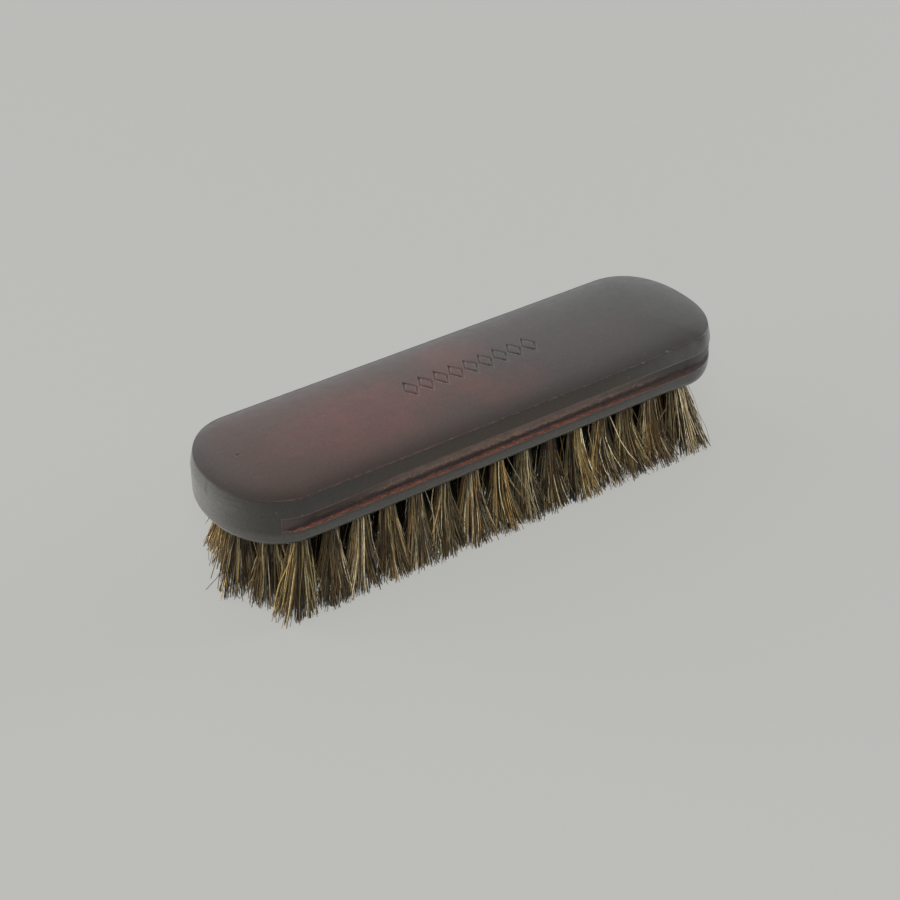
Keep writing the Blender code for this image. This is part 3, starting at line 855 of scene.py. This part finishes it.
def crown_level(x, y):
    """The height of the crown above the spine's straight or round its end."""
    spine = np.clip(x, -SPINE_END, SPINE_END)
    share = math.hypot(x - spine, y) / HALF_WIDTH
    return ARRIS_LEVEL + crown_height(share)


def add_punch(bm, centre_x, centre_y):
    """Adds a lozenge frame that is narrower at its foot, which presses a line into the crown."""
    slope = math.hypot(STAMP_HALF_WIDTH, STAMP_HALF_HEIGHT) / (STAMP_HALF_WIDTH * STAMP_HALF_HEIGHT)
    loops = []
    for lift, stroke in ((-STAMP_DEPTH, STAMP_STROKES[0]), (STAMP_LIFT, STAMP_STROKES[1])):
        for side in (1, -1):
            size = 1 + side * stroke * slope
            spots = [(centre_x + a * STAMP_HALF_WIDTH * size, centre_y + b * STAMP_HALF_HEIGHT * size)
                     for a, b in ((1, 0), (0, 1), (-1, 0), (0, -1))]
            loops.append([bm.verts.new((*spot, crown_level(*spot) + lift)) for spot in spots])
    foot_outer, foot_inner, head_outer, head_inner = loops
    rings = (foot_outer, head_outer, head_inner, foot_inner, foot_outer)
    for a, b in zip(rings, rings[1:]):
        for i in range(4):
            bm.faces.new((a[i], a[i - 1], b[i - 1], b[i]))


def cutters():
    """Everything that is cut from the block: its holes, the pressed row of lozenges and a small pit."""
    bm = bmesh.new()
    for i in range(STAMP_MOTIFS):
        add_punch(bm, STAMP_CENTRE[0] + (i - (STAMP_MOTIFS - 1) / 2) * STAMP_PITCH, STAMP_CENTRE[1])
    pit = bmesh.ops.create_cone(
        bm, cap_ends=True, segments=12, radius1=PIT_RADII[0], radius2=PIT_RADII[1], depth=2 * PIT_DEPTH)
    bmesh.ops.translate(bm, verts=pit["verts"], vec=(*PIT_PLACE, crown_level(*PIT_PLACE)))
    bmesh.ops.recalc_face_normals(bm, faces=bm.faces)
    depth = HOLE_DEPTH + DRILL_START
    for x, y in (place for row in tuft_rows() for place in row):
        made = bmesh.ops.create_cone(
            bm, cap_ends=True, segments=HOLE_SIDES, radius1=HOLE_RADIUS, radius2=HOLE_RADIUS, depth=depth)
        bmesh.ops.translate(bm, verts=made["verts"], vec=(x, y, UNDERSIDE - DRILL_START + depth / 2))
    mesh = bpy.data.meshes.new("cutters")
    bm.to_mesh(mesh)
    bm.free()
    return mesh


def settled(obj):
    """Gives the object the mesh that its modifiers make, and removes them."""
    depsgraph = bpy.context.evaluated_depsgraph_get()
    mesh = bpy.data.meshes.new_from_object(obj.evaluated_get(depsgraph))
    obj.modifiers.clear()
    obj.data = mesh


def build_block(material):
    block = bpy.data.objects.new("block_body", block_mesh())
    drills = bpy.data.objects.new("cutters", cutters())
    for obj in (block, drills):
        bpy.context.scene.collection.objects.link(obj)
    cut = block.modifiers.new("cuts", "BOOLEAN")
    cut.operation = "DIFFERENCE"
    cut.solver = "EXACT"
    cut.object = drills
    settled(block)
    bpy.data.objects.remove(drills, do_unlink=True)
    block.data.materials.clear()
    block.data.materials.append(material)
    block.data.shade_smooth()
    block.data.set_sharp_from_angle(angle=math.radians(SHARP_ANGLE))
    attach(block, "root")
    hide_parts("wood_block")


# Tufts


def tuft_rows():
    """(x, y) of every hole, row by row from the front to the rear, in five staggered rows."""
    rows = []
    for row in range(-2, 3):
        count = OUTER_ROW_TUFTS + 2 - abs(row)
        rows.append([((i - (count - 1) / 2) * PITCH, row * ROW_SPACING) for i in range(count)])
    return rows


def tufts_by_node():
    """The places of the tufts that each node of the solids holds."""
    front, front_inner, middle_inner, rear_inner, rear = tuft_rows()
    nodes = {f"front_tuft_{i + 1:02d}": [place] for i, place in enumerate(front)}
    nodes |= {f"rear_tuft_{i + 1:02d}": [place] for i, place in enumerate(rear)}
    for side, row in {"front": front_inner, "middle": middle_inner, "rear": rear_inner}.items():
        nodes[f"left_end_tuft_{side}"] = row[:1]
        nodes[f"right_end_tuft_{side}"] = row[-1:]
        nodes[f"{side}_inner_tufts"] = row[1:-1]
    return nodes


def outward_lean(x, y):
    """How far a tuft's tips lean outward: most in the outer rows and at the ends of each row."""
    row = round(abs(y) / ROW_SPACING)
    row_end = (OUTER_ROW_TUFTS + 1 - row) / 2 * PITCH
    near_end = (x / row_end) ** 2
    leans = RIGHT_END_LEANS if x > 0 else LEFT_END_LEANS
    across = {0: 0.0, 1: INNER_SIDE_SHARE * (1 + near_end**3), 2: 1.0}[row]
    along_lean = math.copysign(leans[row] * near_end, x) + ROW_DRIFT
    return np.array([along_lean, math.copysign(SIDE_LEAN * across, y)])


def disc(count, rng):
    """Random points spread over the unit disc."""
    radius = np.sqrt(rng.random(count))
    angle = rng.uniform(0, 2 * math.pi, count)
    return np.stack([radius * np.cos(angle), radius * np.sin(angle)], axis=-1)


def lock_centres(rng):
    """Middles of a tuft's locks, spread over the unit disc in a spiral."""
    i = np.arange(LOCKS_PER_TUFT) + 0.5
    radius = np.sqrt(i / LOCKS_PER_TUFT) * LOCK_REACH
    angle = i * math.pi * (3 - math.sqrt(5)) + rng.uniform(0, 2 * math.pi)
    spots = np.stack([radius * np.cos(angle), radius * np.sin(angle)], axis=-1)
    return spots + rng.normal(0, LOCK_SCATTER, spots.shape)


def gathered_spots(spots, centres, rng):
    """The spots pulled towards the middles of their locks, a few reaching wide, on a squarer disc."""
    count = len(spots)
    gathered = spots + (centres - spots) * LOCK_PULL * rng.uniform(*LOCK_PULL_RANGE, (count, 1))
    wide = rng.random(count) < WIDE_SHARE
    gathered[wide] *= rng.uniform(*WIDE_REACH, (wide.sum(), 1))
    direction = gathered / np.maximum(np.hypot(*gathered.T), 1e-6)[:, None]
    return gathered * (1 / np.abs(direction).max(axis=1, keepdims=True)) ** TIP_SQUARENESS


def tip_places(x, y, gathered, nearest, rng):
    """(x, y) of each hair's tip, and which hairs are strays."""
    count = len(gathered)
    lean = outward_lean(x, y) + rng.normal(0, TUFT_LEAN, 2)
    drift = rng.normal(0, LOCK_DRIFT, (LOCKS_PER_TUFT, 2))[nearest]
    tip = np.array([x, y]) + lean + gathered * TIP_RADII + drift + rng.normal(0, TIP_SCATTER, (count, 2))
    stray = rng.random(count) < STRAY_SHARE
    tip[stray] += rng.normal(0, STRAY_REACH, (stray.sum(), 2))
    return tip, stray


def tip_levels(nearest, rng):
    """The level of each hair's tip: ragged by lock and by hair, and some cut short."""
    count = len(nearest)
    level = rng.exponential(LOCK_RAGGED, LOCKS_PER_TUFT)[nearest]
    level = level + np.abs(rng.normal(0, RAGGED_TIPS, count))
    short = rng.random(count) < SHORT_HAIR_SHARE
    level[short] += rng.uniform(0, SHORT_HAIR_LOSS, short.sum())
    return level


def tuft_courses(x, y, rng):
    """The course of each hair of a tuft, as points from its root to its tip, its lock and its shade."""
    inner = abs(y) < 1.5 * ROW_SPACING and abs(x) < HALF_STRAIGHT
    outermost = abs(x) > HALF_STRAIGHT - PITCH / 2
    count = INNER_HAIRS if inner else OUTER_HAIRS
    spots = disc(count, rng)
    locks = lock_centres(rng)
    nearest = np.argmin(np.hypot(*(spots[:, None] - locks[None]).transpose(2, 0, 1)), axis=1)
    gathered = gathered_spots(spots, locks[nearest], rng)
    root = np.array([x + ROOT_DRIFT, y]) + spots * ROOT_RADIUS
    tip, stray = tip_places(x, y, gathered, nearest, rng)
    level = tip_levels(nearest, rng)
    share = np.linspace(0, 1, HAIR_RINGS)[None, :, None]
    bends = END_BENDS if outermost else INNER_BENDS if inner else SIDE_BENDS
    spread = share ** rng.uniform(*bends, (count, 1, 1))
    flat = root[:, None] + (tip - root)[:, None] * spread
    wave = WAVE * rng.normal(0, 1, (count, 1, 2)) * np.sin(math.pi * share)
    wave = wave + WAVE * SECOND_WAVE * rng.normal(0, 1, (count, 1, 2)) * np.sin(2 * math.pi * share)
    wave[stray] *= STRAY_WAVE
    flat = np.clip(flat + wave, [-limit for limit in TIP_LIMIT], TIP_LIMIT)
    top = UNDERSIDE + ROOT_RISE
    height = top + (level[:, None, None] - top) * share
    depth = INSIDE_SHADE + (1 - INSIDE_SHADE) * np.hypot(*spots.T) ** 2
    depth *= np.interp(x / MM, *SHADE_ALONG)
    return np.concatenate([flat, height], axis=2), nearest, depth


def hair_tones(locks, depth, rng):
    """Each hair's tone, from its own colour and the shade of its lock and tuft, and its root's shade."""
    count = len(locks)
    tones = np.array([tone for tone, _ in HAIR_TONES])
    weights = np.array([weight for _, weight in HAIR_TONES])
    weights /= weights.sum()
    chosen = rng.choice(len(tones), count, p=weights)
    of_lock = rng.choice(len(tones), LOCKS_PER_TUFT, p=weights)[locks]
    chosen = tones[np.where(rng.random(count) < LOCK_TONE_SHARE, of_lock, chosen)]
    lock_shade = np.exp(rng.normal(0, LOCK_TONE_SPREAD, LOCKS_PER_TUFT))[locks, None]
    tuft_shade = np.exp(rng.normal(0, TUFT_TONE_SPREAD))
    tuft_shade = tuft_shade * np.array([1.0, 1.0, 1 + rng.normal(0, TUFT_HUE_SPREAD)])
    inner = count == INNER_HAIRS
    own_shade = rng.uniform(*OWN_SHADES, (count, 1)) * depth[:, None] * (INNER_SHADE if inner else 1.0)
    tones = chosen * own_shade * lock_shade * tuft_shade
    roots = np.tile(INNER_ROOTS if inner else OUTER_ROOTS, (count, 1))
    return np.concatenate([tones, roots], axis=1)


def hair_mesh(name, courses, tones, rng):
    """Hairs as thin three-sided tubes, each closed at both ends and with its tone at its points."""
    count, rings = courses.shape[:2]
    pale = 1 + PALE_GAIN * np.clip(tones[:, 1] / PALE_TONE, 0, 1)
    spread = np.exp(rng.normal(*THICKNESS_SPREAD, count)).clip(*THICKNESS_LIMITS)
    thickness = (HAIR_RADIUS * spread * pale)[:, None, None, None]
    taper = np.linspace(*TAPER, rings)[None, :, None, None]
    turn = rng.uniform(0, 2 * math.pi, (count, 1, 1)) + 2 * math.pi * np.arange(HAIR_SIDES) / HAIR_SIDES
    rim = np.stack([np.cos(turn), np.sin(turn), 0 * turn], axis=-1)
    points = courses[:, :, None, :] + rim * thickness * taper
    points[..., 2] = np.maximum(points[..., 2], 0.0)
    index = np.arange(count * rings * HAIR_SIDES).reshape(count, rings, HAIR_SIDES)
    after = np.roll(index, -1, axis=2)
    quads = np.stack([index[:, :-1], after[:, :-1], after[:, 1:], index[:, 1:]], axis=-1).reshape(-1, 4)
    caps = np.concatenate([index[:, 0, ::-1], index[:, -1]]).reshape(-1, HAIR_SIDES)
    mesh = bpy.data.meshes.new(name)
    mesh.from_pydata(points.reshape(-1, 3), [], quads.tolist() + caps.tolist())
    add_hair_map(mesh, count, rings)
    root, reach, power = tones[:, 3:4], tones[:, 4:5], tones[:, 5:6]
    down = np.linspace(0, 1, rings)[None, :]
    shade = root + (1 - root) * smoothstep(down / reach) ** power
    # Painted light on the tips
    shade = shade * (1 + TIP_LIGHT * eased(down, TIP_LIGHT_START, 1))
    per_point = np.ones((count, rings, HAIR_SIDES, 4), np.float32)
    per_point[..., :3] = tones[:, None, None, :3] * shade[:, :, None, None]
    layer = mesh.attributes.new("hair_tone", "FLOAT_COLOR", "POINT")
    layer.data.foreach_set("color", per_point.clip(0, 1).ravel())
    mesh.shade_smooth()
    return mesh


def add_hair_map(mesh, count, rings):
    """Lays each hair's sides out in a cell of its own on a square map, as one strip per side."""
    cells = math.ceil(math.sqrt(count))
    cell = np.stack([np.arange(count) % cells, np.arange(count) // cells], axis=-1)[:, None, :]

    def placed(spots):
        return ((cell + MAP_MARGIN + spots * (1 - 2 * MAP_MARGIN)) / cells).reshape(-1, 2)

    side = np.arange(HAIR_SIDES)[None, :]
    ring = np.arange(rings - 1)[:, None]
    u = np.stack([side, side + 1, side + 1, side], axis=-1) / HAIR_SIDES + 0.0 * ring[..., None]
    v = np.stack([ring, ring, ring + 1, ring + 1], axis=-1) / rings + 0.0 * side[..., None]
    strip = np.stack([u, v], axis=-1).reshape(1, -1, 2)
    low = (rings - 1) / rings
    ends = np.array([[0.0, low], [0.25, low], [0.0, 1.0], [0.6, low], [1.0, low], [0.8, 1.0]])
    spots = np.concatenate([placed(strip), placed(ends[None, :3]), placed(ends[None, 3:])])
    layer = mesh.uv_layers.new(name="OFBake")
    layer.uv.foreach_set("vector", spots.astype(np.float32).ravel())


def build_tufts(material):
    for number, (node, places) in enumerate(tufts_by_node().items()):
        rng = np.random.default_rng(HAIR_SEED + number)
        tufts = [tuft_courses(x, y, rng) for x, y in places]
        tones = np.concatenate([hair_tones(locks, depth, rng) for _, locks, depth in tufts])
        mesh = hair_mesh(node + "_hair", np.concatenate([courses for courses, _, _ in tufts]), tones, rng)
        mesh.materials.append(material)
        hair = bpy.data.objects.new(node + "_hair", mesh)
        bpy.context.scene.collection.objects.link(hair)
        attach(hair, "root")
        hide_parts(node)


# Stage


def build_floor():
    bm = bmesh.new()
    bmesh.ops.create_grid(bm, x_segments=1, y_segments=1, size=FLOOR_SIZE / 2)
    mesh = bpy.data.meshes.new("floor")
    bm.to_mesh(mesh)
    bm.free()
    mesh.materials.append(floor_material())
    floor = bpy.data.objects.new("floor", mesh)
    bpy.context.scene.collection.objects.link(floor)


def softbox(name, place, target, size, power, mirrored):
    light = bpy.data.lights.new(name, "AREA")
    light.shape = "DISK"
    light.size = size
    light.energy = power
    lamp = bpy.data.objects.new(name, light)
    lamp.visible_glossy = mirrored
    lamp.location = place
    lamp.rotation_euler = (Vector(target) - Vector(place)).to_track_quat("-Z", "Y").to_euler()
    bpy.context.scene.collection.objects.link(lamp)


def build_lights():
    world = bpy.data.worlds.new("studio")
    bpy.context.scene.world = world
    world.use_nodes = True
    tree = world.node_tree
    backdrop = tree.nodes["Background"]
    backdrop.inputs["Color"].default_value = FLOOR_COLOUR
    backdrop.inputs["Strength"].default_value = 1.0
    way = add(tree, "ShaderNodeSeparateXYZ", {0: add(tree, "ShaderNodeTexCoord").outputs["Generated"]})
    low = rescaled(tree, way.outputs[2], *GLOW_LOW, smooth=False)
    high = rescaled(tree, way.outputs[2], *GLOW_HIGH, smooth=False)
    back = rescaled(tree, way.outputs[1], *GLOW_BACK, smooth=False)
    strength = maths(tree, "MULTIPLY", maths(tree, "SUBTRACT", low, high), back)
    glow = add(tree, "ShaderNodeBackground", {"Color": GLOW_COLOUR, "Strength": strength})
    seen = add(tree, "ShaderNodeLightPath").outputs["Is Camera Ray"]
    blend = add(tree, "ShaderNodeMixShader", {0: seen, 1: glow.outputs[0], 2: backdrop.outputs[0]})
    tree.links.new(blend.outputs[0], tree.nodes["World Output"].inputs["Surface"])
    for name, settings in SOFTBOXES.items():
        softbox(name, *settings)


def build_camera():
    """The camera of the photo, from its fitted angles, distance and offset from the arris's middle."""
    azimuth, elevation = math.radians(VIEW_AZIMUTH), math.radians(VIEW_ELEVATION)
    away = Vector((math.sin(azimuth) * math.cos(elevation), -math.cos(azimuth) * math.cos(elevation),
                   math.sin(elevation)))
    right = Vector((math.cos(azimuth), math.sin(azimuth), 0.0))
    up = away.cross(right)
    place = Vector((0, 0, ARRIS_LEVEL)) + away * VIEW_DISTANCE - right * VIEW_RIGHT - up * VIEW_UP
    data = bpy.data.cameras.new("photo_camera")
    data.lens = LENS
    data.sensor_width = SENSOR
    data.clip_start = 0.01
    camera = bpy.data.objects.new("photo_camera", data)
    bpy.context.scene.collection.objects.link(camera)
    camera.matrix_world = Matrix.Translation(place) @ Matrix((right, up, away)).transposed().to_4x4()
    bpy.context.scene.camera = camera


bpy.context.scene.view_settings.view_transform = "Standard"
build_camera()
build_floor()
build_lights()
build_block(wood_material())
build_tufts(hair_material())
